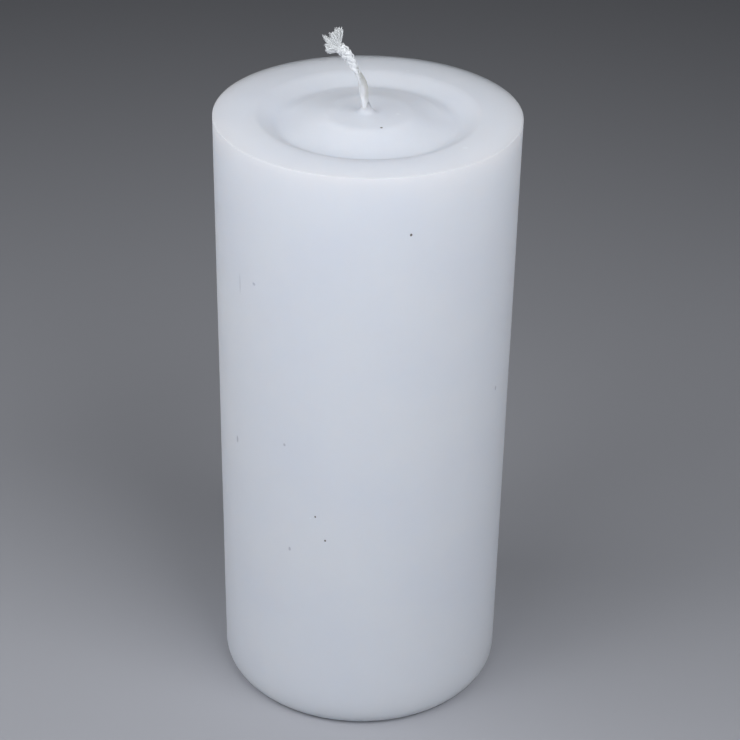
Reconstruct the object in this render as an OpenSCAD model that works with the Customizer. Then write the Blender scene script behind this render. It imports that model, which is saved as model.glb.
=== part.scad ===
// Pillar candle: a moulded wax pillar with a dished top, and a wick of eight braided
// cotton strands that runs through it from the base to the frayed tip.
// The origin is the centre of the base, +Z is up, and lengths are in millimetres.

/* [Pillar] */
// Diameter of the wax pillar
pillar_d = 70; // [60:1:90]
// Height from the base to the flat rim
pillar_h = 150; // [80:1:200]
// Radius of the rounded bottom edge
base_round = 3; // [1:0.5:5]
// Radius of the rounded outer edge of the rim
rim_round = 0.6; // [0.3:0.1:1.5]

/* [Top] */
// Width of the flat rim
rim_w = 9.8; // [6:0.1:12]
// Depth of the dished ring below the rim
dish_depth = 1.9; // [0.5:0.1:3]
// Place of the deepest circle, from the boss (0) to the rim (1)
dish_place = 0.7; // [0.4:0.01:0.8]
// Radius of the flat top of the boss
boss_r = 9.8; // [6:0.1:12]
// Height of the boss above the rim
boss_rise = 0.2; // [0:0.1:1]
// Height that the wax climbs up the wick
collar_h = 1.6; // [0.5:0.1:2]
// Radius of the climbing wax at its foot
collar_r = 3; // [2:0.1:5]

/* [Wick] */
// Diameter of the braid
wick_d = 2; // [1.6:0.1:3]
// Length of braid in which a strand goes once round
braid_lay = 10; // [8:1:16]
// Distance of the wick from the pillar's axis, towards -X
wick_offset = 0.4; // [0:0.1:1]
// Free length of the wick above the rim
free_length = 23; // [18:1:30]
// Lean of the wick's root from the vertical, in degrees
root_lean = 5; // [0:1:8]
// Further lean past the bend, in degrees
bend_angle = 22; // [0:1:45]
// Still further lean of the tip, in degrees
tip_lean = 20; // [0:1:40]
// Direction of the lean, in degrees from -X towards -Y
lean_turn = 6; // [-90:1:90]
// How much wider the frayed tip is than the braid
fray_spread = 2.6; // [1:0.1:3]
// Length of the frayed tip
fray_length = 5.5; // [2:0.5:8]

/* [Hidden] */
strand_count = 8;
strand_names = [for (i = [1:strand_count]) str("wick_strand_", i)];

wax_colour = [0.93, 0.94, 0.95];
cotton_colour = [0.9, 0.89, 0.85];
round_steps = 96;
arc_steps = 6;
curve_steps = 12;

// Wax: radii measured from the pillar's axis
pillar_r = pillar_d / 2;
rim_inner_r = pillar_r - rim_w;
dish_r = boss_r + (rim_inner_r - boss_r) * dish_place;
boss_z = pillar_h + boss_rise;
dish_z = pillar_h - dish_depth;
wick_gap = 0.15;
channel_r = wick_d / 2 + wick_gap;
// The dish's outer wall is straight, and the wax rises in hollow curves to the boss and the wick
boss_wall_power = 1.6;
collar_power = 3;

// Wick: half the strands wind one way and half the other. Each moves out and in as it
// passes over and under the others, with one ring of points at each crossing.
strand_d = wick_d * 0.16;
braid_r = wick_d * 0.31;
over_under = wick_d * 0.11;
strand_sides = 6;
crossings_per_lay = 8;
route_step = braid_lay / crossings_per_lay;
base_recess = 0.2;
route_length = pillar_h - base_recess + free_length;
route_steps = floor(route_length / route_step);
bend_start = 5;
bend_length = 5;
tip_start = 15;
tip_length = 4;

function smooth(t) = let (c = min(max(t, 0), 1)) c * c * (3 - 2 * c);
function unit(v) = v / norm(v);

// Points of a quarter circle about a centre, from one angle to the other
function arc(centre, r, from, to) =
    [for (i = [0:arc_steps]) let (a = from + (to - from) * i / arc_steps)
        centre + r * [cos(a), sin(a)]];

// A curve from the point low, where it is level, up to the point high
function rise(low, high, power) =
    [for (i = [0:curve_steps]) let (t = i / curve_steps)
        [low[0] + (high[0] - low[0]) * t, low[1] + (high[1] - low[1]) * pow(t, power)]];

module wax_pillar() {
    outer_wall = concat(
        arc([pillar_r - base_round, base_round], base_round, -90, 0),
        arc([pillar_r - rim_round, pillar_h - rim_round], rim_round, 0, 90));
    dish = concat(
        [[rim_inner_r, pillar_h]],
        rise([dish_r, dish_z], [boss_r, boss_z], boss_wall_power));
    collar = rise([collar_r, boss_z], [channel_r, boss_z + collar_h], collar_power);
    color(wax_colour)
        difference() {
            union() {
                rotate_extrude($fn = round_steps)
                    polygon(concat([[0, 0]], outer_wall, dish, [[0, boss_z]]));
                translate([-wick_offset, 0, 0])
                    rotate_extrude($fn = round_steps)
                        polygon(concat([[0, dish_z], [collar_r, dish_z]], collar,
                            [[0, boss_z + collar_h]]));
            }
            translate([-wick_offset, 0, -1])
                cylinder(h = pillar_h + 10, r = channel_r, $fn = round_steps);
        }
}

// Lean of the free wick from the vertical, s above the rim along the wick
function lean(s) = s < 0 ? 0
    : root_lean + bend_angle * smooth((s - bend_start) / bend_length)
        + tip_lean * smooth((s - tip_start) / tip_length);
function above_rim(i) = base_recess + i * route_step - pillar_h;
function heading(i) = let (a = lean(above_rim(i)))
    [-sin(a) * cos(lean_turn), -sin(a) * sin(lean_turn), cos(a)];

// Centre line of the wick, one point for each ring
route = [for (i = 0, p = [-wick_offset, 0, base_recess]; i <= route_steps;
    i = i + 1, p = p + route_step * heading(i - 0.5)) p];

// How far the strands spread at ring i
function spread(i) =
    1 + (fray_spread - 1) * smooth((above_rim(i) - free_length + fray_length) / fray_length);

// Strand k's place at ring i, where side is 1 for a right-hand strand and -1 for a left-hand one
function strand_point(k, i) =
    let (side = k % 2 == 0 ? 1 : -1,
        turn = side * 360 * i / crossings_per_lay + 90 * floor(k / 2),
        r = (braid_r + side * over_under * cos(4 * turn)) * spread(i),
        t = heading(i),
        u = unit(cross([0, 1, 0], t)),
        v = cross(t, u))
    route[i] + r * (cos(turn) * u + sin(turn) * v);

// A round tube of diameter d through a list of points
module tube(points, d) {
    last = len(points) - 1;
    rings = [for (i = [0:last])
        let (t = unit(points[min(i + 1, last)] - points[max(i - 1, 0)]),
            u = unit(cross([0, 1, 0], t)),
            v = cross(t, u))
        for (j = [0:strand_sides - 1])
            let (a = 360 * j / strand_sides)
            points[i] + d / 2 * (cos(a) * u + sin(a) * v)];
    walls = [for (i = [0:last - 1], j = [0:strand_sides - 1])
        let (a = i * strand_sides + j,
            b = i * strand_sides + (j + 1) % strand_sides,
            c = a + strand_sides,
            d = b + strand_sides)
        each [[a, c, b], [b, c, d]]];
    foot = [for (j = [0:strand_sides - 1]) j];
    tip = [for (j = [strand_sides - 1:-1:0]) last * strand_sides + j];
    polyhedron(rings, concat([foot], walls, [tip]));
}

module wick_strand(k) {
    color(cotton_colour)
        tube([for (i = [0:route_steps]) strand_point(k, i)], strand_d);
}

wax_pillar();
for (k = [0:strand_count - 1])
    wick_strand(k);
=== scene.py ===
# %% [markdown]
# # A white pillar candle
#
# The object is a moulded pillar of white wax with a braided cotton wick. Its top has a flat
# rim, a shallow dished ring and a low boss that the wick comes out of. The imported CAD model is
# the fixed frame: it gives every place and size, and the looks are built round it here.

# %% Load the frame
import math
import random

import bpy
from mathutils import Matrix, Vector


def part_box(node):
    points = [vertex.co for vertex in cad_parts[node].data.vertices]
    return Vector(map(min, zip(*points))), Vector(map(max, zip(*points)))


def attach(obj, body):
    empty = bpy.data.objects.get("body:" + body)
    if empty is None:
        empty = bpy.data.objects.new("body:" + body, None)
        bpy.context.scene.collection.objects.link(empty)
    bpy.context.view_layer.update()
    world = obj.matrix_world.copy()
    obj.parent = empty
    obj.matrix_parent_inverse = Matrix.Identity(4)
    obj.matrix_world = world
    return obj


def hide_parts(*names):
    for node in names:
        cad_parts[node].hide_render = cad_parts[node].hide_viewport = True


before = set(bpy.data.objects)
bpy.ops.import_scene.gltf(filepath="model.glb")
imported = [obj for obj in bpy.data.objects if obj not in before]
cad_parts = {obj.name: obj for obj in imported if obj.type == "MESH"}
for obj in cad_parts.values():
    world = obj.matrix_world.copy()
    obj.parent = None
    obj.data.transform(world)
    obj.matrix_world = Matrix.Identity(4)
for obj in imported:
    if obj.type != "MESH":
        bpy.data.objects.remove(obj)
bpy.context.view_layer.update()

MM = 0.001
wax_low, wax_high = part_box("wax_pillar")
pillar_radius = (wax_high.x - wax_low.x) / 2
print("pillar", round(2 * pillar_radius / MM, 1), "mm across")

# %% [markdown]
# ## Sizes of the top
#
# The candle is turned round its axis, so a few radii and heights say everything about the wax.
# The rim is level. Inside it the wax dips into a dished ring and rises again to the boss. The
# wick stands a hair off the axis, and wax has climbed its root in a small collar.

# %% Driving sizes
BASE_ROUND = 3 * MM
RIM_ROUND = 0.15 * MM
RIM_WIDTH = 9.8 * MM
DISH_DEPTH = 1.9 * MM
DISH_PLACE = 0.7
BOSS_RADIUS = 9.8 * MM
BOSS_RISE = 0.2 * MM
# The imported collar's height above the boss, which leads from the top of the wax to the rim
COLLAR_HEIGHT = 1.6 * MM
COLLAR_RADIUS = 3 * MM
CHANNEL_RADIUS = 1.15 * MM
WICK_OFFSET = 0.4 * MM

rim_z = wax_high.z - BOSS_RISE - COLLAR_HEIGHT
boss_z = rim_z + BOSS_RISE
rim_inner = pillar_radius - RIM_WIDTH
dish_radius = BOSS_RADIUS + (rim_inner - BOSS_RADIUS) * DISH_PLACE
print("rim", round(rim_z / MM, 1), "mm above the base")

# %% [markdown]
# ## Camera
#
# A long lens looks down on the candle from a little above, so that the round top shows as a
# shallow oval and the sides come together towards the base. The camera is placed on a circle
# round the middle of the pillar and then turned by a small aim so that the candle fills the
# frame from edge to edge.

# %% Camera
VIEW_ELEVATION = 31.5
VIEW_DISTANCE = 13.5 * pillar_radius
AIM_RIGHT = 0.212
AIM_UP = 0.79
CAMERA_ROLL = -1.02
LENS = 93.8
SENSOR_WIDTH = 36


def camera_axes(elevation, aim_right, aim_up, roll):
    """Right, up and forward directions of a camera that looks along +Y and down."""
    turn = math.radians(aim_right)
    dip = math.radians(elevation - aim_up)
    forward = Vector((
        math.sin(turn) * math.cos(dip),
        math.cos(turn) * math.cos(dip),
        -math.sin(dip),
    ))
    right = forward.cross(Vector((0, 0, 1))).normalized()
    up = right.cross(forward)
    lean = math.radians(roll)
    tilted_right = math.cos(lean) * right - math.sin(lean) * up
    tilted_up = math.sin(lean) * right + math.cos(lean) * up
    return tilted_right, tilted_up, forward


def add_camera():
    """Adds the camera and makes it the scene's own."""
    look = math.radians(VIEW_ELEVATION)
    middle = Vector((0, 0, rim_z / 2))
    back = Vector((0, -math.cos(look), math.sin(look)))
    right, up, forward = camera_axes(VIEW_ELEVATION, AIM_RIGHT, AIM_UP, CAMERA_ROLL)
    camera = bpy.data.objects.new("camera", bpy.data.cameras.new("camera"))
    bpy.context.scene.collection.objects.link(camera)
    camera.data.lens = LENS
    camera.data.sensor_width = SENSOR_WIDTH
    camera.location = middle + VIEW_DISTANCE * back
    matrix = camera.matrix_world.to_3x3()
    for column, axis in enumerate((right, up, -forward)):
        matrix.col[column] = axis
    camera.rotation_euler = matrix.to_euler()
    bpy.context.scene.camera = camera
    return camera


camera = add_camera()
print("camera", [round(x, 3) for x in camera.location])

# %% [markdown]
# ## Helpers for materials
#
# Each finish is a small node tree. These helpers add a node, join two sockets and set values,
# so that the recipes below read like a list of what goes into the wax or the cotton. A name
# that ends in "_on" adds its node and returns the socket with the result.

# %% Material helpers


def new_material(name):
    """An empty material with a Principled surface; returns it, its tree and its shader."""
    material = bpy.data.materials.new(name)
    material.use_nodes = True
    tree = material.node_tree
    return material, tree, tree.nodes["Principled BSDF"]


def add_node(tree, kind, **settings):
    """A new node with its settings, such as an operation, set by name."""
    node = tree.nodes.new(kind)
    for key, value in settings.items():
        setattr(node, key, value)
    return node


def set_inputs(node, **values):
    """Sets inputs by name, with spaces written as underscores."""
    for key, value in values.items():
        node.inputs[key.replace("_", " ")].default_value = value


def link(tree, pairs):
    """Joins each (output, input) pair."""
    for start, end in pairs:
        tree.links.new(start, end)


def feed(tree, value, socket):
    """Links another node's output to a socket, or sets the socket to a plain value."""
    if isinstance(value, bpy.types.NodeSocket):
        tree.links.new(value, socket)
    else:
        socket.default_value = value


def math_on(tree, operation, first, second):
    """A Math node's result; first and second are sockets or numbers."""
    node = add_node(tree, "ShaderNodeMath", operation=operation)
    feed(tree, first, node.inputs[0])
    feed(tree, second, node.inputs[1])
    return node.outputs[0]


def part_on(tree, vector, axis):
    """The X, Y or Z part of a vector."""
    parts = add_node(tree, "ShaderNodeSeparateXYZ")
    tree.links.new(vector, parts.inputs["Vector"])
    return parts.outputs[axis]


def noise_on(tree, place, size, detail):
    """Noise whose blobs are about size metres across."""
    noise = add_node(tree, "ShaderNodeTexNoise")
    set_inputs(noise, Scale=1 / size, Detail=detail)
    tree.links.new(place, noise.inputs["Vector"])
    return noise.outputs["Fac"]


def ramp_on(tree, value, stops):
    """A colour ramp from a list of (position, colour)."""
    ramp = add_node(tree, "ShaderNodeValToRGB")
    elements = ramp.color_ramp.elements
    elements[0].position, elements[0].color = stops[0]
    elements[1].position, elements[1].color = stops[-1]
    for position, colour in stops[1:-1]:
        element = elements.new(position)
        element.color = colour
    tree.links.new(value, ramp.inputs["Fac"])
    return ramp.outputs["Color"]


def range_on(tree, value, low, high, to_low, to_high, kind="SMOOTHSTEP"):
    """Maps low..high to to_low..to_high, clamped."""
    mapped = add_node(tree, "ShaderNodeMapRange", interpolation_type=kind)
    set_inputs(mapped, From_Min=low, From_Max=high, To_Min=to_low, To_Max=to_high)
    tree.links.new(value, mapped.inputs["Value"])
    return mapped.outputs["Result"]


def bump_on(tree, height, distance, under=None):
    """Normals of a fine relief; under gives the normals of the relief that it lies on."""
    bump = add_node(tree, "ShaderNodeBump")
    set_inputs(bump, Strength=1.0, Distance=distance)
    tree.links.new(height, bump.inputs["Height"])
    if under is not None:
        tree.links.new(under, bump.inputs["Normal"])
    return bump.outputs["Normal"]


def mix_on(tree, factor, first, second):
    """Mixes two colours; each is a socket or an RGBA tuple."""
    mix = add_node(tree, "ShaderNodeMix", data_type="RGBA")
    tree.links.new(factor, mix.inputs["Factor"])
    # A Mix node has a set of sockets for each kind of data: the colours are inputs 6 and 7
    feed(tree, first, mix.inputs[6])
    feed(tree, second, mix.inputs[7])
    return mix.outputs[2]


def object_place(tree):
    """Object coordinates: places in metres that stay with the piece."""
    return add_node(tree, "ShaderNodeTexCoord").outputs["Object"]


print("helpers ready: noise, ramps, bumps and mixes")

# %% [markdown]
# ## Wax
#
# Candle wax is milky: light goes a centimetre or more in before it comes out again, which
# softens every edge and shadow. Subsurface scattering does that, with a depth in real
# millimetres. On top of it the wax has very faint clouds from cooling, a satin skin that is a
# little rougher in places, a fine tooth from the mould, and a few specks, pits and nicks. They
# could be painted by hand, but an oval mask round a point is simple to place and needs no image.

# %% Wax material
WAX_WHITE = (0.83, 0.87, 0.95, 1)
WAX_CLOUD = (0.805, 0.85, 0.935, 1)
SPECK_BROWN = (0.13, 0.11, 0.1, 1)
# Painted shade: the grey that stands in for the shade in the pits' small hollows
PIT_PAINTED_SHADE = (0.6, 0.63, 0.7, 1)
NICK_WHITE = (0.87, 0.92, 1, 1)
WAX_DEPTH = 14 * MM
# Red, green and blue light go in by these shares of the depth
DEPTH_SHARES = (1.0, 0.93, 0.9)
WAX_IOR = 1.44
WAX_SHINE = 0.3
SATIN_LOW = 0.42
SATIN_HIGH = 0.54
PATCH_SIZE = 9 * MM
CLOUD_SIZE = 26 * MM
HOLLOW_SIZE = 6 * MM
HOLLOW_RELIEF = 0.05 * MM
TOOTH_SIZE = 0.5 * MM
TOOTH_RELIEF = 0.008 * MM
PIT_RELIEF = 0.05 * MM
# Each mark: degrees round from the front towards +X, then millimetres: distance from the axis,
# height above the base, half its width and half its height
SPECKS = (
    (16, 35, 136.3, 0.36, 0.4),
    (-14, 35, 55.9, 0.3, 0.36),
    (-18, 35, 62.2, 0.26, 0.34),
    (19, 9.3, 150.1, 0.42, 0.3),
    (140, 35, 96, 0.34, 0.34),
    (205, 35, 61, 0.3, 0.36),
)
PITS = (
    (-53.5, 35, 117, 0.16, 3.2),
    (-45, 35, 119, 0.6, 0.45),
    (-31, 35, 80, 0.4, 0.5),
    (-29, 35, 51, 0.4, 0.7),
    (-58, 35, 74, 0.5, 1.2),
    (62, 35, 88, 0.45, 0.8),
    (118, 35, 120, 0.2, 2.6),
    (231, 35, 37, 0.5, 0.6),
)
NICKS = (
    (81, 6.8, 150.2, 0.6, 0.3),
    (63.5, 22.4, 148.9, 0.55, 0.4),
    (49, 28.1, 150, 0.8, 0.3),
    (-20, 35, 61.5, 0.3, 0.3),
    (160, 27, 150, 0.5, 0.3),
)


def mark_mask(tree, place, turn, distance, height, half_width, half_height):
    """1 in the inner half of a mark's oval, fading to 0 at its edge."""
    angle = math.radians(turn)
    middle = add_node(tree, "ShaderNodeVectorMath", operation="SUBTRACT")
    middle.inputs[1].default_value = (
        distance * MM * math.sin(angle),
        -distance * MM * math.cos(angle),
        height * MM,
    )
    sized = add_node(tree, "ShaderNodeVectorMath", operation="DIVIDE")
    sized.inputs[1].default_value = (half_width * MM, half_width * MM, half_height * MM)
    length = add_node(tree, "ShaderNodeVectorMath", operation="LENGTH")
    link(tree, [
        (place, middle.inputs[0]),
        (middle.outputs[0], sized.inputs[0]),
        (sized.outputs[0], length.inputs[0]),
    ])
    return range_on(tree, length.outputs["Value"], 0.5, 1, 1, 0)


def any_mark(tree, place, marks):
    """The largest of the masks of several marks."""
    total = mark_mask(tree, place, *marks[0])
    for mark in marks[1:]:
        total = math_on(tree, "MAXIMUM", total, mark_mask(tree, place, *mark))
    return total


def finish_wax(tree, shader, place, colour, bump, depth):
    """Gives wax its satin skin and lets light go in by about depth."""
    patches = noise_on(tree, place, PATCH_SIZE, detail=3)
    satin = range_on(tree, patches, 0.3, 0.7, SATIN_LOW, SATIN_HIGH)
    link(tree, [
        (colour, shader.inputs["Base Color"]),
        (satin, shader.inputs["Roughness"]),
        (bump, shader.inputs["Normal"]),
    ])
    set_inputs(shader, Subsurface_Weight=1.0, Subsurface_Scale=depth)
    set_inputs(shader, Subsurface_Radius=DEPTH_SHARES, IOR=WAX_IOR)
    set_inputs(shader, Specular_IOR_Level=WAX_SHINE)


def make_wax():
    material, tree, shader = new_material("candle_wax")
    place = object_place(tree)
    clouds = noise_on(tree, place, CLOUD_SIZE, detail=4)
    colour = ramp_on(tree, clouds, [(0.35, WAX_CLOUD), (0.65, WAX_WHITE)])
    pits = any_mark(tree, place, PITS)
    # The pits are painted grey as shade in their hollows, and pressed in by the bump below
    colour = mix_on(tree, pits, colour, PIT_PAINTED_SHADE)
    colour = mix_on(tree, any_mark(tree, place, NICKS), colour, NICK_WHITE)
    colour = mix_on(tree, any_mark(tree, place, SPECKS), colour, SPECK_BROWN)
    hollows = bump_on(tree, noise_on(tree, place, HOLLOW_SIZE, detail=2), HOLLOW_RELIEF)
    grain = noise_on(tree, place, TOOTH_SIZE, detail=3)
    tooth = bump_on(tree, grain, TOOTH_RELIEF, under=hollows)
    pitted = bump_on(tree, pits, -PIT_RELIEF, under=tooth)
    finish_wax(tree, shader, place, colour, pitted, WAX_DEPTH)
    return material


wax = make_wax()
print("wax made with", len(SPECKS) + len(PITS) + len(NICKS), "small marks")

# %% [markdown]
# ## Wax on the wick
#
# The thin wax that soaks the wick's lower half is greyer than the pillar, because cotton shows
# through it. It has streaks along the wick, made by noise that is stretched upwards. The side
# away from the lean is darker by painted shade, which stands in for the shade that falls there.
# The surface's own direction tells the tree which side that is.

# %% Wick wax material
WICK_WAX_WHITE = (0.77, 0.79, 0.8, 1)
WICK_WAX_STREAK = (0.68, 0.69, 0.69, 1)
# Painted shade: the colour for the side of the wick that faces +X, away from the lean
WICK_WAX_PAINTED_SHADE = (0.56, 0.57, 0.53, 1)
WICK_WAX_DEPTH = 0.6 * MM
STREAK_SIZE = 0.7 * MM
STREAK_STRETCH = (1, 1, 0.3)
STREAK_RELIEF = 0.12 * MM
SHADE_STRENGTH = 0.8
# The painted shade starts at the first of these parts of a face's direction along +X, full at the
# second
SHADE_FACING = 0.05
SHADE_FULL_FACING = 0.65
SHADE_START = 2 * MM
SHADE_FULL = 5 * MM


def make_wick_wax():
    material, tree, shader = new_material("wick_wax")
    place = object_place(tree)
    long_place = add_node(tree, "ShaderNodeMapping")
    set_inputs(long_place, Scale=STREAK_STRETCH)
    tree.links.new(place, long_place.inputs["Vector"])
    streaks = noise_on(tree, long_place.outputs["Vector"], STREAK_SIZE, detail=3)
    colour = ramp_on(tree, streaks, [(0.35, WICK_WAX_STREAK), (0.6, WICK_WAX_WHITE)])
    # Painted shade: faces turned towards +X are darkened, above a height over the rim
    facing = add_node(tree, "ShaderNodeNewGeometry").outputs["Normal"]
    away = part_on(tree, facing, "X")
    aside = range_on(tree, away, SHADE_FACING, SHADE_FULL_FACING, 0, SHADE_STRENGTH)
    height = part_on(tree, place, "Z")
    above = range_on(tree, height, rim_z + SHADE_START, rim_z + SHADE_FULL, 0, 1)
    painted_shade = math_on(tree, "MULTIPLY", aside, above)
    colour = mix_on(tree, painted_shade, colour, WICK_WAX_PAINTED_SHADE)
    grain = bump_on(tree, streaks, STREAK_RELIEF)
    finish_wax(tree, shader, place, colour, grain, WICK_WAX_DEPTH)
    return material


wick_wax = make_wick_wax()
print("wick wax made")

# %% [markdown]
# ## Cotton
#
# The wick is bleached cotton. Its yarns are matt, with a faint sheen from loose fibres. Near the
# root the cotton is soaked with wax: it turns a little darker and glossier, and the soaking
# fades out on the way up. One measure of dryness, worked out from the height, drives both.

# %% Cotton material
COTTON_DRY = (0.97, 1, 0.99, 1)
COTTON_SHADE = (0.92, 0.95, 0.94, 1)
COTTON_SOAKED = (0.84, 0.87, 0.88, 1)
SOAK_START = 9 * MM
SOAK_END = 17 * MM
SOAKED_ROUGHNESS = 0.4
DRY_ROUGHNESS = 0.9
FIBRE_SIZE = 0.35 * MM
FIBRE_RELIEF = 0.03 * MM
COTTON_DEPTH = 0.15 * MM


def make_cotton():
    material, tree, shader = new_material("wick_cotton")
    place = object_place(tree)
    fibres = noise_on(tree, place, FIBRE_SIZE, detail=4)
    dry = ramp_on(tree, fibres, [(0.3, COTTON_SHADE), (0.6, COTTON_DRY)])
    height = part_on(tree, place, "Z")
    dryness = range_on(tree, height, rim_z + SOAK_START, rim_z + SOAK_END, 0, 1)
    matt = range_on(tree, dryness, 0, 1, SOAKED_ROUGHNESS, DRY_ROUGHNESS)
    link(tree, [
        (mix_on(tree, dryness, COTTON_SOAKED, dry), shader.inputs["Base Color"]),
        (matt, shader.inputs["Roughness"]),
        (bump_on(tree, fibres, FIBRE_RELIEF), shader.inputs["Normal"]),
    ])
    set_inputs(shader, Sheen_Weight=0.8, Subsurface_Weight=0.15, Subsurface_Scale=1.0)
    set_inputs(shader, Subsurface_Radius=(COTTON_DEPTH, COTTON_DEPTH, COTTON_DEPTH))
    return material


cotton = make_cotton()
print("cotton made")

# %% [markdown]
# ## Geometry Nodes helpers
#
# The pillar, the yarns and the frayed fibres each follow a rule, so each is a Geometry Nodes
# tree that grows from a few lines. One helper makes a tree with named inputs, another ends it,
# and a third draws the lines. The last one sets the modifier's inputs by their identifiers,
# keeps the result as a plain mesh and removes the modifier.

# %% Geometry Nodes helpers
SOCKETS = {"geometry": "NodeSocketGeometry", "float": "NodeSocketFloat", "int": "NodeSocketInt"}


def new_tree(name, inputs):
    """A tree with inputs from {name: (kind, value)}; returns it, its inputs and its result."""
    tree = bpy.data.node_groups.new(name, "GeometryNodeTree")
    face = tree.interface
    face.new_socket("Geometry", in_out="INPUT", socket_type=SOCKETS["geometry"])
    for label, (kind, value) in inputs.items():
        socket = face.new_socket(label, in_out="INPUT", socket_type=SOCKETS[kind])
        socket.default_value = value
    face.new_socket("Geometry", in_out="OUTPUT", socket_type=SOCKETS["geometry"])
    given = tree.nodes.new("NodeGroupInput")
    result = tree.nodes.new("NodeGroupOutput")
    return tree, given.outputs, result


def finish_tree(tree, geometry, result, material):
    """Ends a tree in Realize Instances and Set Material."""
    realize = add_node(tree, "GeometryNodeRealizeInstances")
    paint = add_node(tree, "GeometryNodeSetMaterial")
    paint.inputs["Material"].default_value = material
    link(tree, [
        (geometry, realize.inputs[0]),
        (realize.outputs[0], paint.inputs[0]),
        (paint.outputs[0], result.inputs[0]),
    ])


def polyline_object(name, lines, attributes=None):
    """A mesh of edges only: one chain of points for each line, with values on its points."""
    points = [p for line in lines for p in line]
    edges = []
    start = 0
    for line in lines:
        edges += [(start + i, start + i + 1) for i in range(len(line) - 1)]
        start += len(line)
    mesh = bpy.data.meshes.new(name)
    mesh.from_pydata([tuple(p) for p in points], edges, [])
    for label, values in (attributes or {}).items():
        if isinstance(values[0], Vector):
            layer = mesh.attributes.new(label, "FLOAT_VECTOR", "POINT")
            layer.data.foreach_set("vector", [part for value in values for part in value])
        else:
            layer = mesh.attributes.new(label, "FLOAT", "POINT")
            layer.data.foreach_set("value", values)
    made = bpy.data.objects.new(name, mesh)
    bpy.context.scene.collection.objects.link(made)
    return made


def grow(source, tree, **values):
    """Runs the tree on source with its inputs set, and keeps the result as a plain mesh."""
    modifier = source.modifiers.new(tree.name, "NODES")
    modifier.node_group = tree
    # A modifier knows an input by its identifier, such as Socket_2, and not by its label
    for item in tree.interface.items_tree:
        key = item.name.replace(" ", "_").lower()
        if item.in_out == "INPUT" and key in values:
            modifier[item.identifier] = values[key]
    bpy.context.view_layer.update()
    shown = source.evaluated_get(bpy.context.evaluated_depsgraph_get())
    mesh = bpy.data.meshes.new_from_object(shown)
    source.modifiers.clear()
    source.data = mesh
    mesh.name = source.name
    return source


def triangles(piece):
    """How many triangles a piece's faces make."""
    return sum(len(p.vertices) - 2 for p in piece.data.polygons)


print("kinds of input:", ", ".join(SOCKETS))

# %% [markdown]
# ## The outline of the wax
#
# A lathe needs only half an outline. It starts at the axis in a dimple round the wick's lower
# end and runs out along the flat bottom, round the bottom edge, up the wall, over the rim,
# through the dish, over the boss and up the collar, and ends at the axis inside the wick.
# Between its ends the wick is buried: real wax soaks into it and leaves no channel.
# The height of the top is one function of the radius, averaged over a small width, which
# rounds the edges of the dish and the boss as soft wax is rounded.

# %% Outline of the wax
EDGE_SOFTNESS = 0.7 * MM
BOSS_WALL_POWER = 1.6
COLLAR_POWER = 3
# How high the collar climbs to the edge of the channel; inside it the wick hides the rest
COLLAR_CLIMB = 1.1 * MM
# The top is averaged over this many places on each side of a radius
SOFTENING_PLACES = 4
BOTTOM_STEP = 4 * MM
WALL_STEP = 1.6 * MM
TOP_STEP = 0.32 * MM
BASE_ARC_STEPS = 8
RIM_ARC_STEPS = 6
DIMPLE_DEPTH = 0.6 * MM
# The collar goes on rising inside the wick down to this radius, so that its edge never shows
HIDDEN_RADIUS = 0.6 * MM


def sharp_top(radius):
    """Height of the top at this radius before its edges are softened."""
    if radius >= rim_inner:
        return rim_z
    if radius >= dish_radius:
        share = (radius - dish_radius) / (rim_inner - dish_radius)
        return rim_z - DISH_DEPTH * (1 - share)
    if radius >= BOSS_RADIUS:
        share = (dish_radius - radius) / (dish_radius - BOSS_RADIUS)
        return rim_z - DISH_DEPTH + (DISH_DEPTH + BOSS_RISE) * share ** BOSS_WALL_POWER
    return boss_z


def soft_top(radius):
    """The top's height averaged over a small width, plus the collar round the wick."""
    places = range(-SOFTENING_PLACES, SOFTENING_PLACES + 1)
    spots = [radius + EDGE_SOFTNESS * (i / SOFTENING_PLACES) for i in places]
    height = sum(sharp_top(spot) for spot in spots) / len(spots)
    share = (COLLAR_RADIUS - radius) / (COLLAR_RADIUS - CHANNEL_RADIUS)
    if share > 0:
        height += COLLAR_CLIMB * share ** COLLAR_POWER
    return height


def quarter(centre_r, centre_z, radius, start, steps):
    """Points of a quarter circle in the outline, starting at an angle in degrees."""
    points = []
    for i in range(steps + 1):
        angle = math.radians(start + 90 * i / steps)
        points.append((centre_r + radius * math.cos(angle), centre_z + radius * math.sin(angle)))
    return points


def straight(start, end, step):
    """Points between two ends, without the ends."""
    length = math.dist(start, end)
    count = max(1, round(length / step))
    return [
        tuple(a + (b - a) * i / count for a, b in zip(start, end))
        for i in range(1, count)
    ]


def wax_outline():
    """Half of the candle's outline, as (radius, height) points."""
    dimple_top = (CHANNEL_RADIUS, DIMPLE_DEPTH)
    dimple_foot = (CHANNEL_RADIUS, 0)
    base_centre = pillar_radius - BASE_ROUND
    rim_centre = pillar_radius - RIM_ROUND
    bottom = quarter(base_centre, BASE_ROUND, BASE_ROUND, -90, BASE_ARC_STEPS)
    shoulder = quarter(rim_centre, rim_z - RIM_ROUND, RIM_ROUND, 0, RIM_ARC_STEPS)
    reach = shoulder[-1][0] - HIDDEN_RADIUS
    count = round(reach / TOP_STEP)
    radii = [shoulder[-1][0] - reach * i / count for i in range(1, count + 1)]
    top = [(r, soft_top(r)) for r in radii]
    points = [(0, DIMPLE_DEPTH), dimple_top, dimple_foot]
    points += straight(dimple_foot, bottom[0], BOTTOM_STEP) + bottom
    points += straight(bottom[-1], shoulder[0], WALL_STEP) + shoulder + top
    return points + [(0, top[-1][1])]


outline = wax_outline()
print("outline has", len(outline), "points")

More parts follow.
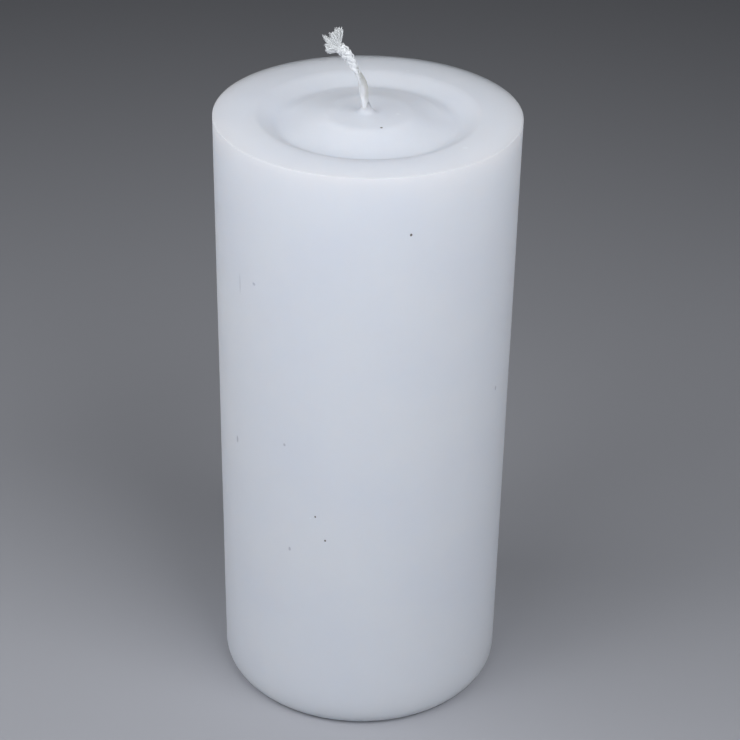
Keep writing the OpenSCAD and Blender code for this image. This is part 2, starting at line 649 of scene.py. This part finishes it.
# %% [markdown]
# ## Turning the pillar
#
# Curve to Mesh sweeps the outline round a circle, as a lathe would, and Merge by Distance closes
# the two points where it meets the axis. Cast wax is never quite true, so two layers of noise
# move the skin by a few hundredths of a millimetre, fading out near the base so that the candle
# still stands flat. Wax also sinks unevenly as it cools. So the lowest circle of the dish is
# moved to the front, which makes its near wall steep, and the slope behind the boss is filled a
# little. Last, the middle of the boss is drawn over to the wick, which stands off the axis.

# %% Turned wax tree
PILLAR_SIDES = 320
POLE_SIZE = 0.001 * MM
WAVE_HEIGHT = 0.12 * MM
WAVE_SIZE = 22 * MM
RIPPLE_HEIGHT = 0.03 * MM
RIPPLE_SIZE = 5 * MM
SETTLE_HEIGHT = 6 * MM
DRAW_RADIUS = 7 * MM
DISH_INNER = 12 * MM
DISH_SHIFT = 1.5 * MM
FILL_RADIUS = 17 * MM
FILL_HEIGHT = 0.7 * MM
# The dish and the slope move only above the first of these depths below the rim, and fully
# above the second
TOP_DEPTH = 6 * MM
TOP_FULL_DEPTH = 4 * MM


def field_noise_on(tree, size, seed):
    """Noise from -0.5 to 0.5 over the surface, as a field; each seed gives another one."""
    noise = add_node(tree, "ShaderNodeTexNoise", noise_dimensions="4D")
    set_inputs(noise, Detail=1.0)
    link(tree, [
        (add_node(tree, "GeometryNodeInputPosition").outputs[0], noise.inputs["Vector"]),
        (seed, noise.inputs["W"]),
        (math_on(tree, "DIVIDE", 1, size), noise.inputs["Scale"]),
    ])
    return math_on(tree, "SUBTRACT", noise.outputs["Fac"], 0.5)


def ring_weight_on(tree, reach, inner, middle, outer):
    """1 on the circle of radius middle, fading to 0 at the radii inner and outer."""
    rising = range_on(tree, reach, inner, middle, 0, 1, "LINEAR")
    falling = range_on(tree, reach, middle, outer, 1, 0, "LINEAR")
    return math_on(tree, "MULTIPLY", rising, falling)


def turned_on(tree, given):
    """The outline swept round the pillar's axis, with both poles closed."""
    profile = add_node(tree, "GeometryNodeMeshToCurve")
    circle = add_node(tree, "GeometryNodeCurvePrimitiveCircle")
    sweep = add_node(tree, "GeometryNodeCurveToMesh")
    closed = add_node(tree, "GeometryNodeMergeByDistance")
    closed.inputs["Distance"].default_value = POLE_SIZE
    link(tree, [
        (given["Geometry"], profile.inputs[0]),
        (given["Radius"], circle.inputs["Radius"]),
        (given["Sides"], circle.inputs["Resolution"]),
        (circle.outputs["Curve"], sweep.inputs["Curve"]),
        (profile.outputs[0], sweep.inputs["Profile Curve"]),
        (sweep.outputs[0], closed.inputs[0]),
    ])
    return closed.outputs[0]


def waves_on(tree, given, place):
    """How far the skin moves along its normal: two layers of noise, none at the base."""
    layers = []
    for layer in ("Wave", "Ripple"):
        noise = field_noise_on(tree, given[layer + " Size"], given["Seed"])
        layers.append(math_on(tree, "MULTIPLY", noise, given[layer + " Height"]))
    height = math_on(tree, "ADD", *layers)
    settled = range_on(tree, part_on(tree, place, "Z"), 0, SETTLE_HEIGHT, 0, 1)
    push = add_node(tree, "ShaderNodeVectorMath", operation="SCALE")
    link(tree, [
        (add_node(tree, "GeometryNodeInputNormal").outputs[0], push.inputs[0]),
        (math_on(tree, "MULTIPLY", height, settled), push.inputs["Scale"]),
    ])
    return push.outputs[0]


def sinking_on(tree, given, place):
    """How far the wax moves: its middle to the wick, the dish forwards, the slope behind up."""
    flat = add_node(tree, "ShaderNodeCombineXYZ")
    length = add_node(tree, "ShaderNodeVectorMath", operation="LENGTH")
    link(tree, [
        (part_on(tree, place, "X"), flat.inputs["X"]),
        (part_on(tree, place, "Y"), flat.inputs["Y"]),
        (flat.outputs[0], length.inputs[0]),
    ])
    reach = length.outputs["Value"]
    height = part_on(tree, place, "Z")
    on_top = range_on(tree, height, rim_z - TOP_DEPTH, rim_z - TOP_FULL_DEPTH, 0, 1)
    behind = range_on(tree, part_on(tree, place, "Y"), 0, BOSS_RADIUS, 0, 1)
    drawn = range_on(tree, reach, CHANNEL_RADIUS, DRAW_RADIUS, -1, 0)
    dish = math_on(tree, "MULTIPLY", on_top,
                   ring_weight_on(tree, reach, DISH_INNER, dish_radius, rim_inner))
    slope = math_on(tree, "MULTIPLY", math_on(tree, "MULTIPLY", on_top, behind),
                    ring_weight_on(tree, reach, BOSS_RADIUS, FILL_RADIUS, rim_inner))
    shift = add_node(tree, "ShaderNodeCombineXYZ")
    link(tree, [
        (math_on(tree, "MULTIPLY", drawn, given["Wick Offset"]), shift.inputs["X"]),
        (math_on(tree, "MULTIPLY", dish, given["Dish Shift"]), shift.inputs["Y"]),
        (math_on(tree, "MULTIPLY", slope, given["Fill Height"]), shift.inputs["Z"]),
    ])
    return shift.outputs[0]


def turned_wax_tree():
    tree, given, result = new_tree("turned_wax", {
        "Radius": ("float", pillar_radius),
        "Sides": ("int", PILLAR_SIDES),
        "Wave Height": ("float", WAVE_HEIGHT),
        "Wave Size": ("float", WAVE_SIZE),
        "Ripple Height": ("float", RIPPLE_HEIGHT),
        "Ripple Size": ("float", RIPPLE_SIZE),
        "Wick Offset": ("float", WICK_OFFSET),
        "Dish Shift": ("float", -DISH_SHIFT),
        "Fill Height": ("float", FILL_HEIGHT),
        "Seed": ("float", 3.0),
    })
    place = add_node(tree, "GeometryNodeInputPosition").outputs[0]
    waved = add_node(tree, "GeometryNodeSetPosition")
    sunk = add_node(tree, "GeometryNodeSetPosition")
    smooth = add_node(tree, "GeometryNodeSetShadeSmooth")
    link(tree, [
        (turned_on(tree, given), waved.inputs["Geometry"]),
        (waves_on(tree, given, place), waved.inputs["Offset"]),
        (waved.outputs[0], sunk.inputs["Geometry"]),
        (sinking_on(tree, given, place), sunk.inputs["Offset"]),
        (sunk.outputs[0], smooth.inputs["Geometry"]),
    ])
    finish_tree(tree, smooth.outputs[0], result, wax)
    return tree


def make_pillar():
    # The circle's own radius is added again by the sweep, so the outline is drawn from there
    profile = [[Vector((r - pillar_radius, -z, 0)) for r, z in reversed(outline)]]
    pillar = polyline_object("candle_pillar", profile)
    return grow(pillar, turned_wax_tree(), sides=PILLAR_SIDES)


pillar = make_pillar()
print("pillar has", triangles(pillar), "triangles")

# %% [markdown]
# ## The wick's route
#
# The wick runs straight up through the wax, leans a little at its root, bends over to one side and
# bends again at the tip. The lean is a smooth function of the length, and the route is the
# running sum of small steps along it.

# %% Route of the wick
BASE_RECESS = 0.2 * MM
ROOT_LEAN = 6.5
BEND_ANGLE = 22
BEND_START = 5 * MM
BEND_LENGTH = 5 * MM
TIP_LEAN = 22
TIP_START = 13 * MM
TIP_LENGTH = 4.5 * MM
LEAN_TURN = math.radians(6)
FREE_LENGTH = 17.3 * MM
ROUTE_STEP = 0.1 * MM
ROUTE_REACH = 30 * MM


def smooth_step(value):
    """0 up to 0, 1 from 1 on, and a smooth S between them."""
    clamped = min(max(value, 0), 1)
    return clamped * clamped * (3 - 2 * clamped)


def lean_at(s):
    """Lean from the vertical in degrees, s metres above the rim along the wick."""
    if s < 0:
        return 0
    bend = BEND_ANGLE * smooth_step((s - BEND_START) / BEND_LENGTH)
    tip = TIP_LEAN * smooth_step((s - TIP_START) / TIP_LENGTH)
    return ROOT_LEAN + bend + tip


def heading_at(s):
    """The wick's direction at s."""
    angle = math.radians(lean_at(s))
    return Vector((
        -math.sin(angle) * math.cos(LEAN_TURN),
        -math.sin(angle) * math.sin(LEAN_TURN),
        math.cos(angle),
    ))


free_route = [Vector((-WICK_OFFSET, 0, rim_z))]
while len(free_route) * ROUTE_STEP < ROUTE_REACH:
    middle_of_step = (len(free_route) - 0.5) * ROUTE_STEP
    free_route.append(free_route[-1] + ROUTE_STEP * heading_at(middle_of_step))


def route_at(s):
    """A point on the wick's centre line, s metres above the rim (below it when negative)."""
    if s <= 0:
        return Vector((-WICK_OFFSET, 0, rim_z + s))
    index = min(int(s / ROUTE_STEP), len(free_route) - 2)
    share = s / ROUTE_STEP - index
    return free_route[index].lerp(free_route[index + 1], share)


def frame_at(s):
    """Two directions square to the wick at s."""
    ahead = heading_at(s)
    across = Vector((0, 1, 0)).cross(ahead).normalized()
    return across, ahead.cross(across)


print("wick's tip is", round(route_at(FREE_LENGTH).x / MM, 1), "mm to the side")

# %% [markdown]
# ## Braided strands
#
# Eight strands make the braid: four wind to the right and four to the left, and each goes over
# and under the ones that it meets. A strand is a flat ribbon of yarns that lie side by side, so
# each yarn is its own line, set a little to the side of the strand's middle. The braid isn't
# round but a bit flat, and it twists on its way up: its thin side faces the front at the root
# and again just past the bend. Near the tip the strands loosen. A point of a yarn follows from
# its place along the wick by this rule alone, so no line has to be drawn by hand.

# %% Braid rule
STRAND_COUNT = 8
YARNS = 5
BRAID_LAY = 8 * MM
BRAID_RADIUS = 0.66 * MM
OVER_UNDER = 0.15 * MM
YARN_SPACING = 0.155 * MM
YARN_RADIUS = 0.1 * MM
FLAT_WIDE = 1.15
FLAT_THIN = 0.68
# The wide side's turn: (millimetres along the wick above the rim, degrees)
TURNS = ((2.2, 75), (5.5, 15), (10, 80), (13, 0))
HIDDEN_STEP = 1 * MM
SHOWN_STEP = 0.2 * MM
# The finer steps start this far below the rim
SHOWN_BELOW = 2 * MM
LOOSENING = 0.4
LOOSE_START = 11.5 * MM
LOOSE_LENGTH = 4.5 * MM


def turn_at(s):
    """How far the braid's wide side is turned at s, in radians."""
    turn = TURNS[0][1]
    for (low, before), (high, after) in zip(TURNS, TURNS[1:]):
        turn += (after - before) * smooth_step((s / MM - low) / (high - low))
    return math.radians(turn)


def flat_ways(s):
    """Directions of the braid's wide and thin sides at s."""
    twist = turn_at(s)
    across, along = frame_at(s)
    wide_way = math.cos(twist) * across + math.sin(twist) * along
    thin_way = math.cos(twist) * along - math.sin(twist) * across
    return wide_way, thin_way


def braid_point(strand, s, yarn=0.0):
    """A yarn's place at s; yarn is how many yarns it lies to the side of its strand's middle."""
    side = 1 if strand % 2 == 0 else -1
    turn = side * math.tau * s / BRAID_LAY + math.pi / 2 * (strand // 2)
    radius = BRAID_RADIUS + side * OVER_UNDER * math.cos(4 * turn)
    turn += yarn * YARN_SPACING / radius
    radius *= 1 + LOOSENING * smooth_step((s - LOOSE_START) / LOOSE_LENGTH)
    wide_way, thin_way = flat_ways(s)
    wide = FLAT_WIDE * radius * math.cos(turn)
    thin = FLAT_THIN * radius * math.sin(turn)
    return route_at(s) + wide * wide_way + thin * thin_way


def yarn_line(strand, yarn):
    """One yarn from the base to where the tip frays."""
    offset = yarn - (YARNS - 1) / 2
    hidden = rim_z - BASE_RECESS - SHOWN_BELOW
    count = round(hidden / HIDDEN_STEP)
    stations = [-rim_z + BASE_RECESS + hidden * i / count for i in range(count)]
    shown = SHOWN_BELOW + FREE_LENGTH
    count = round(shown / SHOWN_STEP)
    stations += [-SHOWN_BELOW + shown * i / count for i in range(count + 1)]
    return [braid_point(strand, s, offset) for s in stations]


strand_lines = [
    [yarn_line(strand, yarn) for yarn in range(YARNS)]
    for strand in range(STRAND_COUNT)
]
print("each yarn has", len(strand_lines[0][0]), "points")

# %% [markdown]
# ## Yarns
#
# The tree turns each line into a round yarn. A bevelled curve would do the same, but the sweep
# is needed again for the wax skin and for the frayed fibres. Its profile is a small polygon,
# and Fill Caps closes both ends.

# %% Yarn tree
YARN_SIDES = 6


def round_sweep_on(tree, curve, radius, sides):
    """A curve made a round bar with closed ends; radius and sides are sockets or numbers."""
    circle = add_node(tree, "GeometryNodeCurvePrimitiveCircle")
    sweep = add_node(tree, "GeometryNodeCurveToMesh")
    sweep.inputs["Fill Caps"].default_value = True
    feed(tree, radius, circle.inputs["Radius"])
    feed(tree, sides, circle.inputs["Resolution"])
    link(tree, [
        (curve, sweep.inputs["Curve"]),
        (circle.outputs["Curve"], sweep.inputs["Profile Curve"]),
    ])
    return sweep.outputs[0]


def yarn_tree():
    tree, given, result = new_tree("round_yarn", {
        "Radius": ("float", YARN_RADIUS),
        "Sides": ("int", YARN_SIDES),
    })
    line = add_node(tree, "GeometryNodeMeshToCurve")
    smooth = add_node(tree, "GeometryNodeSetShadeSmooth")
    bar = round_sweep_on(tree, line.outputs[0], given["Radius"], given["Sides"])
    link(tree, [(given["Geometry"], line.inputs[0]), (bar, smooth.inputs["Geometry"])])
    finish_tree(tree, smooth.outputs[0], result, cotton)
    return tree


yarns = yarn_tree()
strands = [
    grow(polyline_object(f"cotton_strand_{number}", lines), yarns)
    for number, lines in enumerate(strand_lines, start=1)
]
print("strands have", sum(triangles(s) for s in strands), "triangles")

# %% [markdown]
# ## Wax skin on the wick
#
# Moulders dip or rub the root of the wick with wax, so its lower half is smooth: a skin of wax
# fills the gaps of the braid and joins the collar. It thins out half-way up, where the yarns
# start to show through. The tree sweeps a round tube along the wick and then squeezes it flat
# with directions and sizes stored on the line's points, so it follows every turn of the braid.

# %% Wax skin
SKIN_START = -1.5 * MM
SKIN_FADE = 9 * MM
SKIN_END = 13 * MM
SKIN_WIDE = 1.02 * MM
SKIN_THIN = 0.66 * MM
# The neck is this many times as wide as the skin above it
SKIN_NECK = 1.02
SKIN_NECK_TOP = 6 * MM
SKIN_FOOT = 1.2 * MM
SKIN_FOOT_TOP = 3.5 * MM
# The share of its width that the skin loses towards its upper end
SKIN_THINNING = 0.55
SKIN_STEP = 0.1 * MM
SKIN_SIDES = 40
LUMP_SIZE = 1.1 * MM
LUMP_SHARE = 0.22


def stored(tree, name, kind):
    """Reads a value that the line's points carry."""
    node = add_node(tree, "GeometryNodeInputNamedAttribute", data_type=kind)
    node.inputs["Name"].default_value = name
    return node.outputs["Attribute"]


def vector_on(tree, operation, first, second):
    """A Vector Math node's result for two vectors."""
    node = add_node(tree, "ShaderNodeVectorMath", operation=operation)
    link(tree, [(first, node.inputs[0]), (second, node.inputs[1])])
    return node.outputs["Value" if operation == "DOT_PRODUCT" else "Vector"]


def scaled_on(tree, vector, factor):
    """A vector times a number."""
    node = add_node(tree, "ShaderNodeVectorMath", operation="SCALE")
    link(tree, [(vector, node.inputs[0]), (factor, node.inputs["Scale"])])
    return node.outputs["Vector"]


def skin_tree():
    tree, given, result = new_tree("wax_skin", {
        "Sides": ("int", SKIN_SIDES),
        "Lump Size": ("float", LUMP_SIZE),
        "Lump Height": ("float", LUMP_SHARE),
        "Seed": ("float", 5.0),
    })
    line = add_node(tree, "GeometryNodeMeshToCurve")
    tree.links.new(given["Geometry"], line.inputs[0])
    # The tube has a radius of one millimetre, so that the stored widths are plain factors
    tube = round_sweep_on(tree, line.outputs[0], 1 * MM, given["Sides"])
    place = add_node(tree, "GeometryNodeInputPosition").outputs[0]
    middle = stored(tree, "middle", "FLOAT_VECTOR")
    outward = vector_on(tree, "SUBTRACT", place, middle)
    lumps = field_noise_on(tree, given["Lump Size"], given["Seed"])
    lumpy = math_on(tree, "ADD", math_on(tree, "MULTIPLY", lumps, given["Lump Height"]), 1)
    sides = []
    for way in ("wide", "thin"):
        direction = stored(tree, way + "_way", "FLOAT_VECTOR")
        share = vector_on(tree, "DOT_PRODUCT", outward, direction)
        length = math_on(tree, "MULTIPLY", share, stored(tree, way, "FLOAT"))
        sides.append(scaled_on(tree, direction, math_on(tree, "MULTIPLY", length, lumpy)))
    whole = vector_on(tree, "ADD", vector_on(tree, "ADD", *sides), middle)
    move = add_node(tree, "GeometryNodeSetPosition")
    smooth = add_node(tree, "GeometryNodeSetShadeSmooth")
    link(tree, [
        (tube, move.inputs["Geometry"]),
        (whole, move.inputs["Position"]),
        (move.outputs[0], smooth.inputs["Geometry"]),
    ])
    finish_tree(tree, smooth.outputs[0], result, wick_wax)
    return tree


def skin_half_width(s, size):
    """Half the skin's width at s, in millimetres: a spreading foot, a neck, and a fading end."""
    neck = 1 - smooth_step((s - SKIN_FOOT_TOP) / (SKIN_NECK_TOP - SKIN_FOOT_TOP))
    foot = min(max(1 - s / SKIN_FOOT_TOP, 0), 1) ** 2
    left = 1 - SKIN_THINNING * smooth_step((s - SKIN_FADE) / (SKIN_END - SKIN_FADE))
    width = size * (1 + (SKIN_NECK - 1) * neck)
    return (width + (SKIN_FOOT - width) * foot) * left / MM


def make_skin():
    """The wax skin, from a line whose points carry the braid's middle, directions and widths."""
    count = round((SKIN_END - SKIN_START) / SKIN_STEP)
    stations = [SKIN_START + SKIN_STEP * i for i in range(count + 1)]
    ways = [flat_ways(s) for s in stations]
    carried = {
        "middle": [route_at(s) for s in stations],
        "wide_way": [wide_way for wide_way, thin_way in ways],
        "thin_way": [thin_way for wide_way, thin_way in ways],
        "wide": [skin_half_width(s, SKIN_WIDE) for s in stations],
        "thin": [skin_half_width(s, SKIN_THIN) for s in stations],
    }
    source = polyline_object("wick_wax_skin", [carried["middle"]], attributes=carried)
    return grow(source, skin_tree(), sides=SKIN_SIDES)


skin = make_skin()
print("wax skin has", triangles(skin), "triangles")

# %% [markdown]
# ## Frayed tip
#
# Past the last crossing the eight strands come apart. Each ends in a tuft of fine fibres that
# leans its own way, and together they make a dense ragged fan, longer on its upper side. Hair
# would do it too, but about a thousand thin bars keep their shape when the model is exported.
# One guide line is drawn for each tuft. The tree copies it many times, moves the copies apart,
# curls them and trims each to its own length. A firm core in each tuft closes the gaps.

# %% Tufts
FAN_ANGLE = math.radians(60)
FAN_JITTER = 4
# Strands that are neighbours in the braid lie this many places apart in the fan
FAN_STRIDE = 3
TUFT_SHORT = 2.7 * MM
TUFT_LONG = 4.1 * MM
# How quickly the tufts grow longer across the fan, and how early each turns its own way
TUFT_GROWTH = 1.3
TUFT_OPENING = 2.6
TUFT_JITTER = 0.2
TUFT_DEPTH = 0.3
TUFT_GATHER = 0.55
TUFT_ROOT = 1.2 * MM
GUIDE_POINTS = 12
TUFT_FIBRES = 130
FIBRE_SPREAD = 0.55 * MM
FIBRE_CURL = 0.5 * MM
CURL_SIZE = 1.3 * MM
FIBRE_RADIUS = 0.055 * MM
SHORTEST_SHARE = 0.7
CORE_RADIUS = 0.28 * MM
CORE_POINTS = 8
CORE_SIDES = 12


def tuft_guide(strand, shuffle):
    """The middle line of one tuft, from inside the braid's end out to its tip."""
    share = strand * FAN_STRIDE % STRAND_COUNT / (STRAND_COUNT - 1)
    root = FREE_LENGTH - TUFT_ROOT
    start = route_at(root).lerp(braid_point(strand, root), TUFT_GATHER)
    ahead = heading_at(FREE_LENGTH)
    upper_side = Vector((ahead.z, 0, -ahead.x))
    jitter = math.radians(shuffle.uniform(-FAN_JITTER, FAN_JITTER))
    fan = FAN_ANGLE * (2 * share - 1) + jitter
    deep = Vector((0, shuffle.uniform(-TUFT_DEPTH, TUFT_DEPTH), 0))
    toward = (math.cos(fan) * ahead + math.sin(fan) * upper_side + deep).normalized()
    length = TUFT_SHORT + (TUFT_LONG - TUFT_SHORT) * smooth_step(TUFT_GROWTH * share)
    length += TUFT_ROOT + shuffle.uniform(-TUFT_JITTER, TUFT_JITTER) * MM
    points = [start]
    for i in range(1, GUIDE_POINTS):
        turned = smooth_step(TUFT_OPENING * i / GUIDE_POINTS)
        step = ahead.lerp(toward, turned).normalized()
        points.append(points[-1] + step * length / (GUIDE_POINTS - 1))
    return points


def apart_on(tree, given, along, number):
    """A random way to move a whole fibre, further towards its tip."""
    way = add_node(tree, "FunctionNodeRandomValue", data_type="FLOAT_VECTOR")
    way.inputs[0].default_value = (-1, -1, -1)
    link(tree, [(number, way.inputs["ID"]), (given["Seed"], way.inputs["Seed"])])
    opened = math_on(tree, "ADD", math_on(tree, "MULTIPLY", along, 0.5), 0.5)
    return scaled_on(tree, way.outputs[0], math_on(tree, "MULTIPLY", opened, given["Spread"]))


def curl_on(tree, given, along, number):
    """How a fibre curls, by noise that differs from fibre to fibre."""
    bend = add_node(tree, "ShaderNodeTexNoise", noise_dimensions="4D")
    set_inputs(bend, Detail=1.0)
    centred = add_node(tree, "ShaderNodeVectorMath", operation="SUBTRACT")
    centred.inputs[1].default_value = (0.5, 0.5, 0.5)
    link(tree, [
        (math_on(tree, "DIVIDE", 1, given["Curl Size"]), bend.inputs["Scale"]),
        (add_node(tree, "GeometryNodeInputPosition").outputs[0], bend.inputs["Vector"]),
        (number, bend.inputs["W"]),
        (bend.outputs["Color"], centred.inputs[0]),
    ])
    return scaled_on(tree, centred.outputs[0], math_on(tree, "MULTIPLY", along, given["Curl"]))


def fray_tree():
    tree, given, result = new_tree("frayed_fibres", {
        "Fibres": ("int", TUFT_FIBRES),
        "Spread": ("float", FIBRE_SPREAD),
        "Curl": ("float", FIBRE_CURL),
        "Curl Size": ("float", CURL_SIZE),
        "Thickness": ("float", FIBRE_RADIUS),
        "Shortest": ("float", SHORTEST_SHARE),
        "Seed": ("int", 0),
    })
    guide = add_node(tree, "GeometryNodeMeshToCurve")
    copies = add_node(tree, "GeometryNodeDuplicateElements", domain="SPLINE")
    along = add_node(tree, "GeometryNodeSplineParameter").outputs["Factor"]
    number = add_node(tree, "GeometryNodeCurveOfPoint").outputs["Curve Index"]
    move = add_node(tree, "GeometryNodeSetPosition")
    apart = apart_on(tree, given, along, number)
    curl = curl_on(tree, given, along, number)
    length = add_node(tree, "FunctionNodeRandomValue", data_type="FLOAT")
    trim = add_node(tree, "GeometryNodeTrimCurve", mode="FACTOR")
    link(tree, [
        (given["Geometry"], guide.inputs[0]),
        (guide.outputs[0], copies.inputs["Geometry"]),
        (given["Fibres"], copies.inputs["Amount"]),
        (copies.outputs["Geometry"], move.inputs["Geometry"]),
        (vector_on(tree, "ADD", apart, curl), move.inputs["Offset"]),
        # Random Value's input 2 is its lowest number, and Trim Curve's input 3 is its end
        (given["Shortest"], length.inputs[2]),
        (add_node(tree, "GeometryNodeInputIndex").outputs[0], length.inputs["ID"]),
        (given["Seed"], length.inputs["Seed"]),
        (move.outputs[0], trim.inputs["Curve"]),
        (length.outputs[1], trim.inputs[3]),
    ])
    fibres = round_sweep_on(tree, trim.outputs[0], given["Thickness"], 3)
    finish_tree(tree, fibres, result, cotton)
    return tree


shuffle = random.Random(11)
guides = [tuft_guide(strand, shuffle) for strand in range(STRAND_COUNT)]
tufts = grow(polyline_object("wick_tufts", guides), fray_tree(), fibres=TUFT_FIBRES)
core_lines = [guide[:CORE_POINTS] for guide in guides]
cores = polyline_object("wick_tuft_cores", core_lines)
grow(cores, yarns, radius=CORE_RADIUS, sides=CORE_SIDES)
print("tufts have", triangles(tufts) + triangles(cores), "triangles")

# %% [markdown]
# ## Put the pieces on the frame
#
# The candle has no joints, so every piece rides on the one body. The turned pillar stands for
# the CAD pillar, and each detailed strand for its plain CAD strand.

# %% Ride and replaced nodes
def place_piece(piece, slot, *nodes):
    """Puts a piece on the one body, in place of the CAD nodes that it shows; slot is not used."""
    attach(piece, "root")
    if nodes:
        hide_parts(*nodes)


place_piece(pillar, "wax", "wax_pillar")
for number, strand_piece in enumerate(strands, start=1):
    place_piece(strand_piece, "cotton", f"wick_strand_{number}")
place_piece(tufts, "cotton")
place_piece(cores, "cotton")
place_piece(skin, "wax")
print("the pillar and", len(strands), "strands stand for the packed nodes")

# %% [markdown]
# ## Floor
#
# The candle stands on a plain pale floor, which is one large square with a matt finish. A
# curved backdrop would do as well, but a flat floor shows best where the candle stands.

# %% Floor
FLOOR_GREY = (0.42, 0.43, 0.45, 1)
FLOOR_HALF = 1.5


def make_floor():
    corners = [(x * FLOOR_HALF, y * FLOOR_HALF, 0) for x, y in ((-1, -1), (1, -1), (1, 1), (-1, 1))]
    mesh = bpy.data.meshes.new("floor")
    mesh.from_pydata(corners, [], [(0, 1, 2, 3)])
    floor = bpy.data.objects.new("floor", mesh)
    bpy.context.scene.collection.objects.link(floor)
    material, _, shader = new_material("floor_paper")
    set_inputs(shader, Base_Color=FLOOR_GREY, Roughness=0.9)
    mesh.materials.append(material)


make_floor()
print("floor is", 2 * FLOOR_HALF, "m wide")

# %% [markdown]
# ## Lights
#
# White wax shows its round shape only by slow changes of tone, so the light is soft and comes
# from three sides: a key from the right, a second light from the left, and a third between them
# that fills the shade. Each is a square area light that faces the upper part of the candle, and
# its size keeps the shadows soft. They stand close, so the far rim and the foot of the candle
# are dimmer than the near rim. A weak cool sky fills what is left.

# %% Lights
# Each light: name, degrees round from the front towards +X, degrees up, watts
LIGHTS = (
    ("right_key", 40, 40, 1.44),
    ("left_key", -70, 40, 0.82),
    ("low_fill", -40, 30, 0.68),
)
LIGHT_TARGET = Vector((0, 0, 120 * MM))
LIGHT_DISTANCE = 0.45
LIGHT_SIZE = 0.35
LIGHT_COLOUR = (0.985, 0.99, 1.04)


def add_light(name, turn, height, power):
    """A square soft light that faces the upper part of the candle."""
    angle = math.radians(turn)
    rise = math.radians(height)
    direction = Vector((
        math.sin(angle) * math.cos(rise),
        -math.cos(angle) * math.cos(rise),
        math.sin(rise),
    ))
    data = bpy.data.lights.new(name, "AREA")
    data.size = LIGHT_SIZE
    data.energy = power
    data.color = LIGHT_COLOUR
    lamp = bpy.data.objects.new(name, data)
    lamp.location = LIGHT_TARGET + LIGHT_DISTANCE * direction
    lamp.rotation_euler = (-direction).to_track_quat("-Z", "Y").to_euler()
    bpy.context.scene.collection.objects.link(lamp)


for light in LIGHTS:
    add_light(*light)
print(len(LIGHTS), "lights of", round(sum(light[3] for light in LIGHTS), 2), "watts together")

# %% Sky
SKY = (0.75, 0.85, 1, 1)
SKY_STRENGTH = 0.01
world = bpy.data.worlds.new("studio")
world.use_nodes = True
set_inputs(world.node_tree.nodes["Background"], Color=SKY, Strength=SKY_STRENGTH)
bpy.context.scene.world = world
# Standard shows the tones as they are, without the soft shoulder of a film look
bpy.context.scene.view_settings.view_transform = "Standard"
print("sky strength", SKY_STRENGTH)
